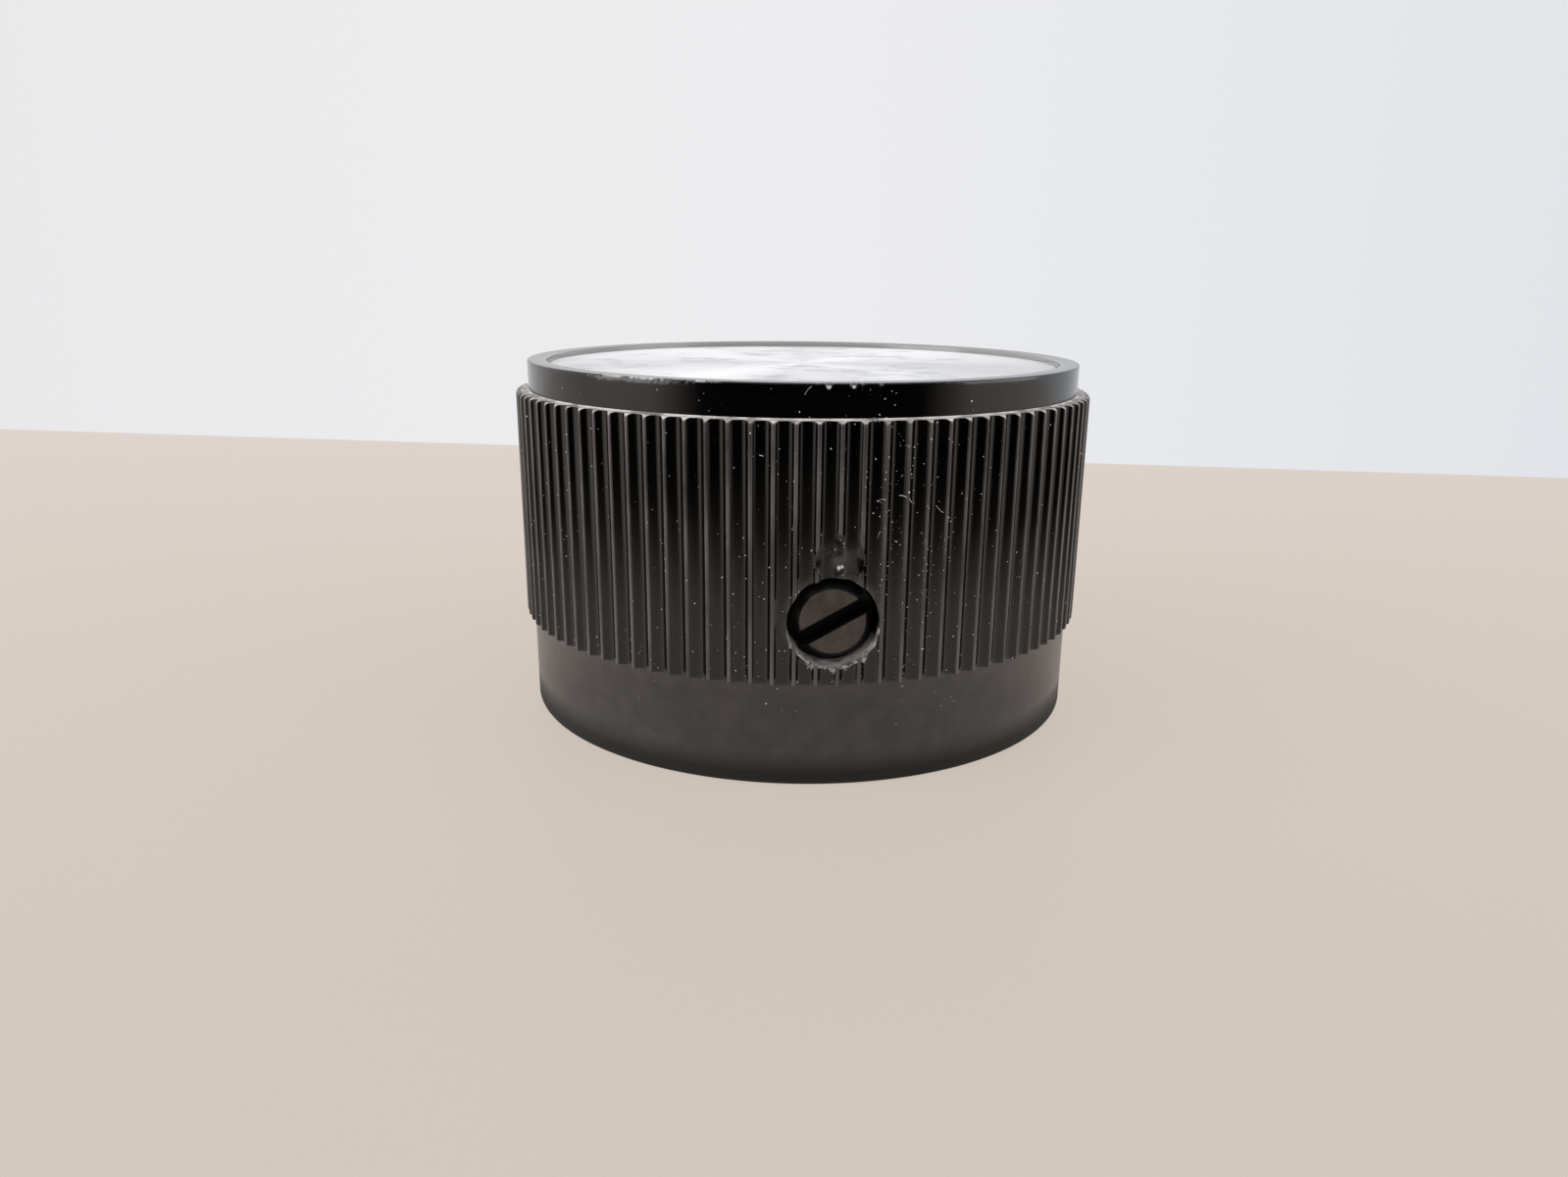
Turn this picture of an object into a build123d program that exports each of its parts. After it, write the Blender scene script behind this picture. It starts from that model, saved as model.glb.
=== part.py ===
"""A round fluted control knob for a rotary switch shaft.

A black moulded body carries a smooth skirt, a band of fine upright flutes and a
thin raised rim. A spun aluminium disc is bonded into the rim. Underneath, three
thin webs and a thick screw boss join the outer wall to a hub that is moulded
round a brass bushing. A slotted set screw passes through the boss and the
bushing to grip the shaft.

The knob stands on its skirt. The origin is on the shaft axis at the skirt's
foot, +Z is up the shaft axis, and the set screw faces -Y. Sizes are millimetres.
"""

import math
import os

from build123d import *

# Outside of the body, with the steps in from the crests to the skirt and to the rim
overall_height = 19.0
crest_diameter = 31.75
skirt_height = 5.35
skirt_step = 0.425
rim_height = 1.6
rim_step = 0.675
rim_wall_thickness = 1.0
flute_top_chamfer = 0.15
foot_chamfer = 0.25
rim_edge_chamfer = 0.12

# Flutes: round-bottomed grooves with narrow crests between them
flute_count = 98
flute_depth = 0.24
flute_crest_width = 0.12
flute_phase_deg = 0.8

# Spun disc, its bond, and the seat that holds them below the rim
disc_thickness = 0.5
disc_side_clearance = 0.05
disc_below_rim = 0.3
bond_thickness = 0.1
bond_edge_margin = 0.6

# Hollow underside
wall_thickness = 2.3
top_plate_thickness = 2.2
hub_wall_thickness = 2.1
hub_bottom = 4.6
web_thickness = 1.6
web_bottom = 5.6
boss_wall_thickness = 2.05
boss_bottom = 4.6
hollow_corner = 0.8

# Brass bushing moulded into the hub
shaft_diameter = 6.35
shaft_clearance = 0.05
bore_mouth_chamfer = 0.35
bushing_wall_thickness = 2.775
bushing_end_wall = 1.0
plate_over_bushing = 1.1
bushing_neck_depth = 0.5
bushing_neck_height = 1.2
bushing_neck_from_end = 1.3
knurl_count = 12
knurl_depth = 0.3

# Set screw and the holes it runs in
screw_height = 8.25
screw_diameter = 4.1
screw_below_crests = 0.35
screw_tip_from_bore = 1.2
screw_end_chamfer = 0.42
screw_slot_width = 0.7
screw_slot_depth = 1.0
screw_slot_angle_deg = 29.0
screw_cup_diameter = 2.2
screw_cup_depth = 0.6
tapped_hole_clearance = 0.03
body_hole_clearance = 0.1

crest_radius = crest_diameter / 2
skirt_radius = crest_radius - skirt_step
rim_radius = crest_radius - rim_step
flute_top = overall_height - rim_height
seat_radius = rim_radius - rim_wall_thickness
disc_radius = seat_radius - disc_side_clearance
disc_bottom = overall_height - disc_below_rim - disc_thickness
seat_floor = disc_bottom - bond_thickness
hollow_radius = skirt_radius - wall_thickness
hollow_top = seat_floor - top_plate_thickness
bore_radius = shaft_diameter / 2 + shaft_clearance
bushing_radius = bore_radius + bushing_wall_thickness
bushing_top = seat_floor - plate_over_bushing
bore_top = bushing_top - bushing_end_wall
screw_face_radius = crest_radius - screw_below_crests
screw_tip_radius = bore_radius + screw_tip_from_bore
tapped_hole_radius = screw_diameter / 2 + tapped_hole_clearance
body_hole_radius = screw_diameter / 2 + body_hole_clearance


def screw_plane(distance):
    """A plane across the screw axis at this distance from the shaft axis, facing outwards."""
    return Plane(origin=(0, -distance, screw_height), x_dir=(1, 0, 0), z_dir=(0, -1, 0))


# Bushing blank: a bar with a straight V-groove knurl and a turned neck, as the plastic meets it
knurl_side = knurl_depth * math.sqrt(2)
neck_bottom = bushing_top - bushing_neck_from_end - bushing_neck_height
with BuildPart() as bushing_blank:
    with BuildSketch(Plane.XY.offset(hub_bottom)):
        Circle(bushing_radius)
        with PolarLocations(bushing_radius, knurl_count):
            Rectangle(knurl_side, knurl_side, rotation=45, mode=Mode.SUBTRACT)
    extrude(amount=bushing_top - hub_bottom)
    with BuildSketch(Plane.XY.offset(neck_bottom)):
        Circle(bushing_radius + 1)
        Circle(bushing_radius - bushing_neck_depth, mode=Mode.SUBTRACT)
    extrude(amount=bushing_neck_height, mode=Mode.SUBTRACT)

# Brass bushing: bored blind from below and tapped for the screw
with BuildPart() as shaft_bushing:
    add(bushing_blank.part)
    with BuildSketch(Plane.XY.offset(hub_bottom)):
        Circle(bore_radius)
    extrude(amount=bore_top - hub_bottom, mode=Mode.SUBTRACT)
    bore_mouth = shaft_bushing.edges(Select.LAST).sort_by(Axis.Z)[0]
    chamfer(bore_mouth, bore_mouth_chamfer)
    with BuildSketch(screw_plane(0)):
        Circle(tapped_hole_radius)
    extrude(amount=bushing_radius, mode=Mode.SUBTRACT)
shaft_bushing.part.label = "shaft_bushing"

# Fluted band: the grooved outline, trimmed by a turned shape with a chamfered top
flute_half_width = (math.pi * crest_diameter / flute_count - flute_crest_width) / 2
flute_arc_radius = (flute_half_width**2 + flute_depth**2) / (2 * flute_depth)
flute_centre_radius = crest_radius - flute_depth + flute_arc_radius
first_flute_deg = flute_phase_deg - 90 + 180 / flute_count
with BuildPart() as fluted_band:
    with BuildSketch(Plane.XY.offset(skirt_height)):
        Circle(crest_radius)
        with PolarLocations(flute_centre_radius, flute_count, start_angle=first_flute_deg):
            Circle(flute_arc_radius, mode=Mode.SUBTRACT)
    extrude(amount=flute_top - skirt_height)
    with BuildSketch(Plane.XZ):
        with BuildLine():
            Polyline(
                (0, skirt_height),
                (crest_radius, skirt_height),
                (crest_radius, flute_top - flute_top_chamfer),
                (crest_radius - flute_top_chamfer, flute_top),
                (0, flute_top),
                close=True,
            )
        make_face()
    revolve(axis=Axis.Z, mode=Mode.INTERSECT)

# Moulded body: turned shape, fluted band, hollow with hub and webs, screw hole
with BuildPart() as knob_body:
    with BuildSketch(Plane.XZ):
        with BuildLine():
            Polyline(
                (0, 0),
                (skirt_radius - foot_chamfer, 0),
                (skirt_radius, foot_chamfer),
                (skirt_radius, skirt_height + flute_top_chamfer),
                (rim_radius, flute_top - flute_top_chamfer),
                (rim_radius, overall_height - rim_edge_chamfer),
                (rim_radius - rim_edge_chamfer, overall_height),
                (seat_radius, overall_height),
                (seat_radius, seat_floor),
                (0, seat_floor),
                close=True,
            )
        make_face()
    revolve(axis=Axis.Z)
    add(fluted_band.part)

    with BuildSketch(Plane.XY):
        Circle(hollow_radius)
    extrude(amount=hollow_top, mode=Mode.SUBTRACT)
    ceiling = knob_body.edges().filter_by(GeomType.CIRCLE).filter_by(
        lambda edge: abs(edge.center().Z - hollow_top) < 0.01
    )
    chamfer(ceiling, hollow_corner)

    with BuildSketch(Plane.XY.offset(hub_bottom)):
        Circle(bushing_radius + hub_wall_thickness)
    extrude(amount=hollow_top - hub_bottom)
    with BuildSketch(Plane.XY.offset(web_bottom)):
        with PolarLocations(hollow_radius / 2, 3, angular_range=270):
            Rectangle(hollow_radius, web_thickness)
    extrude(amount=hollow_top - web_bottom)
    with BuildSketch(Plane.XY.offset(boss_bottom)):
        with Locations((0, -hollow_radius / 2)):
            Rectangle(2 * (body_hole_radius + boss_wall_thickness), hollow_radius)
    extrude(amount=hollow_top - boss_bottom)

    add(bushing_blank.part, mode=Mode.SUBTRACT)
    with BuildSketch(screw_plane(0)):
        Circle(body_hole_radius)
    extrude(amount=crest_radius + 1, mode=Mode.SUBTRACT)
knob_body.part.label = "knob_body"

# Slotted cup-point set screw, drawn along its own axis
with BuildPart() as set_screw:
    with BuildSketch(screw_plane(screw_tip_radius)):
        Circle(screw_diameter / 2)
    extrude(amount=screw_face_radius - screw_tip_radius)
    chamfer(set_screw.edges().filter_by(GeomType.CIRCLE), screw_end_chamfer)
    with BuildSketch(screw_plane(screw_face_radius)):
        Rectangle(screw_diameter + 1, screw_slot_width, rotation=screw_slot_angle_deg)
    extrude(amount=-screw_slot_depth, mode=Mode.SUBTRACT)
    with Locations(screw_plane(screw_tip_radius)):
        Cone(
            screw_cup_diameter / 2,
            0,
            screw_cup_depth,
            align=(Align.CENTER, Align.CENTER, Align.MIN),
            mode=Mode.SUBTRACT,
        )
set_screw.part.label = "set_screw"

# Bond film between the seat floor and the disc
with BuildPart() as disc_bond:
    with BuildSketch(Plane.XY.offset(seat_floor)):
        Circle(disc_radius - bond_edge_margin)
    extrude(amount=bond_thickness)
disc_bond.part.label = "disc_bond"

# Spun aluminium disc
with BuildPart() as top_disc:
    with BuildSketch(Plane.XY.offset(disc_bottom)):
        Circle(disc_radius)
    extrude(amount=disc_thickness)
top_disc.part.label = "top_disc"

os.makedirs("parts", exist_ok=True)
for piece in (knob_body, shaft_bushing, set_screw, disc_bond, top_disc):
    export_step(piece.part, f"parts/{piece.part.label}.step")
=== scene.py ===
"""A black fluted switch knob with a spun aluminium disc, standing on its skirt."""

import math

import bmesh
import bpy
from mathutils import Euler, Matrix, Vector, noise


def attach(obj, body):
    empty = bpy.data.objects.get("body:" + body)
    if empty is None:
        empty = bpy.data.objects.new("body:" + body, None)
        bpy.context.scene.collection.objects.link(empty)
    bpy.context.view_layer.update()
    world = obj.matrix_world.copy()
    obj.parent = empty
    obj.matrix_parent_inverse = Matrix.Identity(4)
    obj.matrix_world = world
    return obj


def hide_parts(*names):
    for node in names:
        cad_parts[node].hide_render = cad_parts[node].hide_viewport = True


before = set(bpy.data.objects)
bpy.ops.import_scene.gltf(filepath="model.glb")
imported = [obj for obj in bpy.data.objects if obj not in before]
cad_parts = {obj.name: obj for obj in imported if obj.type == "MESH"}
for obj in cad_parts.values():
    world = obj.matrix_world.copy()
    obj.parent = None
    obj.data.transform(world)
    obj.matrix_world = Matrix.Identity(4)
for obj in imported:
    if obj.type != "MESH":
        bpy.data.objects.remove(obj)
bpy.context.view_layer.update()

scene = bpy.context.scene
scene.view_settings.view_transform = "Standard"
MM = 0.001

# Camera: close in front of the knob, a little to the left of the set screw and
# just above the rim, looking down. It is rolled by half a degree.
CAMERA_PLACE = (-6.433, -63.550, 23.624)
CAMERA_HEADING = math.radians(4.955)
CAMERA_TILT = math.radians(15.94)
CAMERA_ROLL = math.radians(0.533)
lens = bpy.data.cameras.new("camera")
lens.sensor_width = 36.0
lens.lens = 25.45
lens.clip_start = 0.001
lens.clip_end = 20.0
camera = bpy.data.objects.new("camera", lens)
scene.collection.objects.link(camera)
scene.camera = camera
camera.location = Vector(CAMERA_PLACE) * MM
aim = Euler((math.pi / 2 - CAMERA_TILT, 0, -CAMERA_HEADING)).to_matrix()
camera.rotation_euler = (aim @ Matrix.Rotation(CAMERA_ROLL, 3, "Z")).to_euler()


# Table top: a plain warm grey laminate with a slight sheen and a fine grain. It is
# the floor that the skirt's foot stands on.
def srgb(code):
    """A linear colour with alpha from an sRGB hex code such as d7ccc1."""
    parts = [int(code[i : i + 2], 16) / 255 for i in (0, 2, 4)]
    return [p / 12.92 if p <= 0.04045 else ((p + 0.055) / 1.055) ** 2.4 for p in parts] + [1.0]


def node(tree, kind, *values, sockets=(), **settings):
    """Adds a node. Each input is set to its value, or linked if that is a node or an output."""
    made = tree.nodes.new(kind)
    for name, value in settings.items():
        setattr(made, name, value)
    for key, value in [*enumerate(values), *dict(sockets).items()]:
        if isinstance(value, bpy.types.Node):
            value = value.outputs[0]
        if isinstance(value, bpy.types.NodeSocket):
            tree.links.new(value, made.inputs[key])
        else:
            made.inputs[key].default_value = value
    return made


math_node = "ShaderNodeMath"


def new_material(name):
    """An empty material with its tree."""
    made = bpy.data.materials.new(name)
    made.use_nodes = True
    made.node_tree.nodes.clear()
    return made, made.node_tree


def piece(name, verts, faces, material):
    """A mesh object at the origin, with its place in its mesh."""
    mesh = bpy.data.meshes.new(name)
    mesh.from_pydata([tuple(v) for v in verts], [], faces)
    mesh.materials.append(material)
    mesh.update()
    made = bpy.data.objects.new(name, mesh)
    scene.collection.objects.link(made)
    return made


# the floor's half width in mm, and the share of its look that is a glow, painted brighter towards the
# wall
FLOOR_SPAN = 3000.0
FLOOR_GLOW_SHARE = 0.72
laminate, tree = new_material("table_laminate")
place = node(tree, "ShaderNodeTexCoord").outputs["Object"]
# a printed grain of 0.4 mm
grain = node(tree, "ShaderNodeTexNoise", place, sockets={"Scale": 2500.0, "Detail": 3.0})
tint = node(tree, "ShaderNodeMixRGB", grain, srgb("c6bbb0"), srgb("cfc3b8"))
shader = node(
    tree, "ShaderNodeBsdfPrincipled", sockets={"Base Color": tint, "Roughness": 0.45, "IOR": 1.5}
)
# painted light: the glow brightens from the front of the table towards the wall
back = node(tree, "ShaderNodeSeparateXYZ", place).outputs[1]
far = node(tree, "ShaderNodeMapRange", back, -0.03, 0.15, 0.0, 1.0)
floor_glow_lit_towards_wall = node(tree, "ShaderNodeMixRGB", far, srgb("d9cec1"), srgb("ebe1db"))
floor_glow_lit_towards_wall = node(tree, "ShaderNodeEmission", floor_glow_lit_towards_wall, 1.0)
rays = node(tree, "ShaderNodeLightPath").outputs
seen = node(tree, math_node, rays["Is Camera Ray"], rays["Is Glossy Ray"], operation="MAXIMUM")
seen = node(tree, math_node, seen, rays["Is Transmission Ray"], operation="MAXIMUM")
seen = node(tree, math_node, seen, FLOOR_GLOW_SHARE, operation="MULTIPLY")
node(tree, "ShaderNodeOutputMaterial", node(tree, "ShaderNodeMixShader", seen, shader, floor_glow_lit_towards_wall))
corners = [(-1, -1), (1, -1), (1, 1), (-1, 1)]
table_top = piece(
    "table_top",
    [(x * FLOOR_SPAN * MM, y * FLOOR_SPAN * MM, 0) for x, y in corners],
    [(0, 1, 2, 3)],
    laminate,
)

# Wall: a plain white panel that stands on the table behind the knob. The camera
# and reflections see it as a glow, painted brightest in the middle and dimmer to its ends.
WALL_FOOT = [(-1000.0, 315.15), (1000.0, -142.3)]
WALL_HEIGHT = 900.0
white_wall, tree = new_material("white_wall")
paint = node(tree, "ShaderNodeBsdfDiffuse", srgb("e9e9eb"))
along = node(tree, "ShaderNodeSeparateXYZ", node(tree, "ShaderNodeTexCoord").outputs["Object"])
# painted light: the glow is dimmer towards both ends of the wall than in its middle
left_side = node(tree, "ShaderNodeMapRange", along, -0.25, 0.0, 0.0, 1.0)
right_side = node(tree, "ShaderNodeMapRange", along, 0.0, 0.12, 0.0, 1.0)
painted_wall_light = node(tree, "ShaderNodeMixRGB", left_side, srgb("e6e2e4"), srgb("ededef"))
painted_wall_light = node(tree, "ShaderNodeMixRGB", right_side, painted_wall_light, srgb("dfe2e7"))
glow = node(tree, "ShaderNodeEmission", painted_wall_light, 1.0)
rays = node(tree, "ShaderNodeLightPath").outputs
seen = node(tree, math_node, rays["Is Camera Ray"], rays["Is Glossy Ray"], operation="MAXIMUM")
seen = node(tree, math_node, seen, rays["Is Transmission Ray"], operation="MAXIMUM")
node(tree, "ShaderNodeOutputMaterial", node(tree, "ShaderNodeMixShader", seen, paint, glow))
(x0, y0), (x1, y1) = WALL_FOOT
wall = piece(
    "wall",
    [
        (x0 * MM, y0 * MM, 0),
        (x1 * MM, y1 * MM, 0),
        (x1 * MM, y1 * MM, WALL_HEIGHT * MM),
        (x0 * MM, y0 * MM, WALL_HEIGHT * MM),
    ],
    [(0, 1, 2, 3)],
    white_wall,
)

# Dark card: a matt black flag bent round the front behind the camera, thinning out
# to gauze at its ends and along its apron on the table. It puts the dark reflection
# into the rim and the upper flutes. Only reflections see it: it casts no shadow.
# Sizes are in millimetres, and the apron runs from its own radius to the card's.
CARD_RADIUS = 92.0
APRON_RADIUS = 37.0
APRON_SOLID_RADIUS = 66.0
APRON_LIFT = 1.0
CARD_HALF_ANGLE = math.radians(60)
CARD_SOLID_ANGLE = math.radians(40)
CARD_HEIGHT = 60.0
CARD_STEPS = 24
CARD_CENTRE_ANGLE = math.radians(-2)
black_card, tree = new_material("black_card")
place = node(tree, "ShaderNodeTexCoord").outputs["Object"]
parts = node(tree, "ShaderNodeSeparateXYZ", place)
toward = node(tree, math_node, parts.outputs[1], -1.0, operation="MULTIPLY")
bearing = node(tree, math_node, parts.outputs[0], toward, operation="ARCTAN2")
bearing = node(tree, math_node, bearing, CARD_CENTRE_ANGLE, operation="SUBTRACT")
bearing = node(tree, math_node, bearing, operation="ABSOLUTE")
clear = node(tree, "ShaderNodeMapRange", bearing, CARD_SOLID_ANGLE, CARD_HALF_ANGLE, 0.0, 1.0)
flat = node(tree, "ShaderNodeVectorMath", place, (1, 1, 0), operation="MULTIPLY")
reach = node(tree, "ShaderNodeVectorMath", flat, operation="LENGTH").outputs["Value"]
apron_start, apron_solid, card_edge = (
    n * MM for n in (APRON_RADIUS, APRON_SOLID_RADIUS, CARD_RADIUS)
)
thin = node(tree, "ShaderNodeMapRange", reach, apron_start, apron_solid, 1.0, 0.05)
thin_end = node(tree, "ShaderNodeMapRange", reach, 0.9 * card_edge, card_edge, 1.0, 0.0)
thin = node(tree, math_node, thin, thin_end, operation="MULTIPLY")
clear = node(tree, math_node, clear, thin, operation="MAXIMUM")
cloth = node(tree, "ShaderNodeBsdfDiffuse", srgb("060606"))
gauze = node(tree, "ShaderNodeMixShader", clear, cloth, node(tree, "ShaderNodeBsdfTransparent"))
node(tree, "ShaderNodeOutputMaterial", gauze)
card_rows = []
for step in range(CARD_STEPS + 1):
    angle = CARD_CENTRE_ANGLE + CARD_HALF_ANGLE * (2 * step / CARD_STEPS - 1)
    x, y = math.sin(angle) * MM, -math.cos(angle) * MM
    card_rows.append((APRON_RADIUS * x, APRON_RADIUS * y, APRON_LIFT * MM))
    card_rows.append((CARD_RADIUS * x, CARD_RADIUS * y, APRON_LIFT * MM))
    card_rows.append((CARD_RADIUS * x, CARD_RADIUS * y, CARD_HEIGHT * MM))
card = piece(
    "dark_card",
    card_rows,
    [(i + k, i + k + 3, i + k + 4, i + k + 1) for i in range(0, 3 * CARD_STEPS, 3) for k in (0, 1)],
    black_card,
)
card.visible_camera = False
card.visible_diffuse = False
card.visible_shadow = False

# Studio light: an even pale room, one small soft panel above and behind the knob
# that draws the fan of light on the spun disc, and a soft box on each side.
ROOM_LIGHT = 0.8
world = bpy.data.worlds.new("pale_room")
scene.world = world
world.use_nodes = True
tree = world.node_tree
tree.nodes.clear()
node(tree, "ShaderNodeOutputWorld", node(tree, "ShaderNodeBackground", srgb("fbfbff"), ROOM_LIGHT))

# name, width in mm, place in mm, power in watts
LAMPS = [
    ("back_panel", 60.0, (5.0, 70.0, 59.0), 0.0032),
    ("left_box", 130.0, (-150.0, -50.0, 70.0), 0.12),
    ("right_box", 130.0, (160.0, -40.0, 70.0), 0.07),
]
for name, width, spot, watts in LAMPS:
    panel = bpy.data.lights.new(name, "AREA")
    panel.shape = "SQUARE"
    panel.size = width * MM
    panel.energy = watts
    lamp = bpy.data.objects.new(name, panel)
    scene.collection.objects.link(lamp)
    lamp.location = Vector(spot) * MM
    toward_knob = Vector((0, 0, 10.0)) * MM - lamp.location
    lamp.rotation_euler = toward_knob.to_track_quat("-Z", "Y").to_euler()

# Moulded body: black phenolic, compression moulded in one piece with its flutes,
# hub and webs. The turned outline is walked row by row, and one flute's width of
# it is bent in and copied round. Sizes are in millimetres.
CREST_RADIUS = 15.875
SKIRT_RADIUS = 15.45
RIM_RADIUS = 15.2
SEAT_RADIUS = 14.2
SKIRT_HEIGHT = 5.2
FLUTE_TOP = 17.4
RIM_TOP = 19.0
SEAT_FLOOR = 18.1
HOLLOW_RADIUS = 13.15
HOLLOW_TOP = 15.9
HUB_BOTTOM = 4.6
HUB_RADIUS = 8.1
BUSHING_CAVITY_RADIUS = 5.68
BUSHING_CAVITY_TOP = 17.0
FLUTE_COUNT = 98
FLUTE_DEPTH = 0.29
FLUTE_CREST_WIDTH = 0.12
FLUTE_COLUMNS = 16
FLUTE_TOP_ROUND = 0.2
FLUTE_FOOT_ROUND = 0.08
CREST_EDGE_ROUND = 0.03
FIRST_CREST_ANGLE = math.radians(0.8)
FOOT_ROUND = 0.22
HUB_EDGE = 0.12
HOLLOW_CORNER = 0.8
WEB_HALF_THICKNESS = 0.8
WEB_BOTTOM = 5.6
BOSS_HALF_WIDTH = 4.2
SCREW_HEIGHT = 8.22
SCREW_HOLE_RADIUS = 2.13


def arc_rows(centre_r, centre_z, radius, start_deg, end_deg, count):
    """Points of a rounded corner in the turned outline."""
    steps = [math.radians(start_deg + (end_deg - start_deg) * i / count) for i in range(count + 1)]
    return [(centre_r + radius * math.cos(a), centre_z + radius * math.sin(a)) for a in steps]


under_rows = [
    (0, BUSHING_CAVITY_TOP),
    (BUSHING_CAVITY_RADIUS, BUSHING_CAVITY_TOP),
    (BUSHING_CAVITY_RADIUS, HUB_BOTTOM + 0.02),
    (6.0, HUB_BOTTOM + 0.02),
    (6.0, HUB_BOTTOM),
    (HUB_RADIUS - HUB_EDGE, HUB_BOTTOM),
    (HUB_RADIUS, HUB_BOTTOM + HUB_EDGE),
    (HUB_RADIUS, HOLLOW_TOP - 0.25),
    (HUB_RADIUS + 0.25, HOLLOW_TOP),
    (HOLLOW_RADIUS - HOLLOW_CORNER, HOLLOW_TOP),
    (HOLLOW_RADIUS, HOLLOW_TOP - HOLLOW_CORNER),
    (HOLLOW_RADIUS, 0.1),
    (HOLLOW_RADIUS + 0.1, 0),
]
skirt_rows = [
    *arc_rows(SKIRT_RADIUS - FOOT_ROUND, FOOT_ROUND, FOOT_ROUND, -90, 0, 4),
    (SKIRT_RADIUS, 2.6),
    (SKIRT_RADIUS, SKIRT_HEIGHT - 0.06),
    (SKIRT_RADIUS + 0.04, SKIRT_HEIGHT),
]
foot_round = arc_rows(
    CREST_RADIUS - FLUTE_FOOT_ROUND, SKIRT_HEIGHT + FLUTE_FOOT_ROUND, FLUTE_FOOT_ROUND, -85, 0, 3
)
top_round = arc_rows(
    CREST_RADIUS - FLUTE_TOP_ROUND, FLUTE_TOP - FLUTE_TOP_ROUND, FLUTE_TOP_ROUND, 0, 85, 5
)
crest_rows = [(CREST_RADIUS, z) for z in (6.0, 8.0, 10.0, 12.0, 14.0, 16.0, 17.0)]
band_rows = [*foot_round, *crest_rows, *top_round]
rim_rows = [
    (RIM_RADIUS + 0.06, FLUTE_TOP),
    (RIM_RADIUS, FLUTE_TOP + 0.06),
    (RIM_RADIUS, RIM_TOP - 0.5),
    (RIM_RADIUS, RIM_TOP - 0.3),
    (RIM_RADIUS, RIM_TOP - 0.18),
    *arc_rows(RIM_RADIUS - 0.08, RIM_TOP - 0.08, 0.08, 0, 90, 4),
    (RIM_RADIUS - 0.2, RIM_TOP),
    (RIM_RADIUS - 0.4, RIM_TOP),
    *arc_rows(SEAT_RADIUS + 0.08, RIM_TOP - 0.08, 0.08, 90, 180, 3),
    (SEAT_RADIUS, SEAT_FLOOR),
    (0, SEAT_FLOOR),
]
outline = under_rows + skirt_rows + band_rows + rim_rows
plain_rows = len(under_rows + skirt_rows)
fluted = [0.0] * plain_rows + [1.0] * len(band_rows) + [0.0] * len(rim_rows)

tree = bpy.data.node_groups.new("fluted_moulding", "GeometryNodeTree")
tree.is_modifier = True
tree.interface.new_socket("Outline", in_out="INPUT", socket_type="NodeSocketGeometry")
for label, value in (
    ("Crest Radius", CREST_RADIUS * MM),
    ("Flute Depth", FLUTE_DEPTH * MM),
    ("Crest Width", FLUTE_CREST_WIDTH * MM),
    ("Edge Round", CREST_EDGE_ROUND * MM),
    ("First Crest Angle", FIRST_CREST_ANGLE),
):
    tree.interface.new_socket(label, in_out="INPUT", socket_type="NodeSocketFloat").default_value = value
for label, value in (("Flute Count", FLUTE_COUNT), ("Columns", FLUTE_COLUMNS)):
    tree.interface.new_socket(label, in_out="INPUT", socket_type="NodeSocketInt").default_value = value
tree.interface.new_socket("Material", in_out="INPUT", socket_type="NodeSocketMaterial")
tree.interface.new_socket("Moulding", in_out="OUTPUT", socket_type="NodeSocketGeometry")
given = node(tree, "NodeGroupInput").outputs

# the arc of one flute, from its depth and the pitch that the crests leave it
turn = node(tree, math_node, 2 * math.pi, given["Flute Count"], operation="DIVIDE")
pitch = node(tree, math_node, turn, given["Crest Radius"], operation="MULTIPLY")
mouth = node(tree, math_node, pitch, given["Crest Width"], operation="SUBTRACT")
half_mouth = node(tree, math_node, mouth, 0.5, operation="MULTIPLY")
half_squared = node(tree, math_node, half_mouth, half_mouth, operation="MULTIPLY")
depth_squared = node(tree, math_node, given["Flute Depth"], given["Flute Depth"], operation="MULTIPLY")
both = node(tree, math_node, half_squared, depth_squared, operation="ADD")
twice_depth = node(tree, math_node, given["Flute Depth"], 2.0, operation="MULTIPLY")
arc_radius = node(tree, math_node, both, twice_depth, operation="DIVIDE")

# a flat strip with a row for each outline point, and columns that crowd towards the crests
size = node(tree, "GeometryNodeAttributeDomainSize", given["Outline"], component="MESH")
row_count = size.outputs["Point Count"]
column_count = node(tree, math_node, given["Columns"], 1.0, operation="ADD")
strip = node(tree, "GeometryNodeMeshGrid", 1.0, 1.0, column_count, row_count)
spot = node(tree, "ShaderNodeSeparateXYZ", node(tree, "GeometryNodeInputPosition"))
from_top = node(tree, math_node, spot.outputs[1], 0.5, operation="ADD")
last_row = node(tree, math_node, row_count, 1.0, operation="SUBTRACT")
row = node(tree, math_node, from_top, last_row, operation="MULTIPLY")
row = node(tree, math_node, row, operation="ROUND")
lookup = {"Value": node(tree, "GeometryNodeInputPosition"), "Index": row}
point = node(tree, "GeometryNodeSampleIndex", given["Outline"], sockets=lookup, data_type="FLOAT_VECTOR")
point = node(tree, "ShaderNodeSeparateXYZ", point)
mark = node(tree, "GeometryNodeInputNamedAttribute", "fluted", data_type="FLOAT")
lookup = {"Value": mark, "Index": row}
is_fluted = node(tree, "GeometryNodeSampleIndex", given["Outline"], sockets=lookup, data_type="FLOAT")
# a sine of the column's share moves it towards the nearer crest
swing = node(tree, math_node, spot.outputs[0], 2 * math.pi, operation="MULTIPLY")
swing = node(tree, math_node, swing, operation="SINE")
swing = node(tree, math_node, swing, 4.4 * math.pi, operation="DIVIDE")
share = node(tree, math_node, spot.outputs[0], swing, operation="ADD")

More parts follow.
